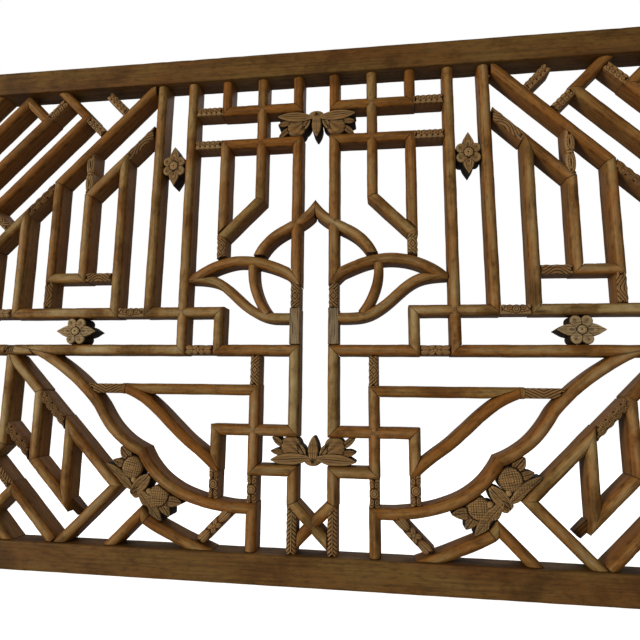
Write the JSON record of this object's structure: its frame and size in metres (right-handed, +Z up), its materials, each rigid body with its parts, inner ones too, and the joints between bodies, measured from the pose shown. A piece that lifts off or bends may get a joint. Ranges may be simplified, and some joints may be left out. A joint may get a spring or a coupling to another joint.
{
  "type": "lattice transom window",
  "caption": "Wide wooden transom window: an openwork lattice of moulded bars, curved bars and carved links around two eye-shaped openings, in a plain frame.",
  "frame": {"origin": "middle of the flat underside of the frame's lower rail", "axes": "+X to the viewer's right along the window's width, +Y from the moulded front to the flat back, +Z up"},
  "size_m": [1.308, 0.046, 0.837],
  "materials": {
    "lattice_wood": "old brown wood with a worn satin finish, darker on the sides of the bars",
    "carved_wood": "carved brown wood, greyer and more worn than the bars",
    "frame_wood": "plain brown wood, satin, assumed"
  },
  "bodies": {
    "root": {"cornerBarLeft": "lattice_wood", "cornerBarRight": "lattice_wood", "eyeLeft": "lattice_wood", "eyeRight": "lattice_wood", "footHookLeft": "lattice_wood", "footHookRight": "lattice_wood", "frameHead": "frame_wood", "frameSill": "frame_wood", "frameStileLeft": "frame_wood", "frameStileRight": "frame_wood", "highFlower": "carved_wood", "highRosetteLeft": "carved_wood", "highRosetteRight": "carved_wood", "hoopLeft": "lattice_wood", "hoopRight": "lattice_wood", "innerSweepLeft": "lattice_wood", "innerSweepRight": "lattice_wood", "innerUInnerLeft": "lattice_wood", "innerUInnerRight": "lattice_wood", "innerUOuterLeft": "lattice_wood", "innerUOuterRight": "lattice_wood", "kneeLeft": "lattice_wood", "kneeRight": "lattice_wood", "lowFlower": "carved_wood", "lowHookLeft": "lattice_wood", "lowHookRight": "lattice_wood", "lowRosetteLeft": "carved_wood", "lowRosetteRight": "carved_wood", "lowerRowLeft": "lattice_wood", "lowerRowRight": "lattice_wood", "middleSlantLeft": "lattice_wood", "middleSlantRight": "lattice_wood", "ogeeArch": "lattice_wood", "outerHookLeft": "lattice_wood", "outerHookRight": "lattice_wood", "outerSlantLeft": "lattice_wood", "outerSlantRight": "lattice_wood", "outerSweepLeft": "lattice_wood", "outerSweepRight": "lattice_wood", "outerULeft": "lattice_wood", "outerURight": "lattice_wood", "rowEndLeft": "lattice_wood", "rowEndRight": "lattice_wood", "sillGableLeft": "lattice_wood", "sillGableRight": "lattice_wood", "sillSweepLeft": "lattice_wood", "sillSweepRight": "lattice_wood", "spineHookLeft": "lattice_wood", "spineHookRight": "lattice_wood", "sprayLeft": "carved_wood", "sprayRight": "carved_wood", "stepBarLeft": "lattice_wood", "stepBarRight": "lattice_wood", "tallUprightLeft": "lattice_wood", "tallUprightRight": "lattice_wood", "topULeft": "lattice_wood", "topURight": "lattice_wood", "zigzagLeft": "lattice_wood", "zigzagRight": "lattice_wood"}
  },
  "joints": []
}
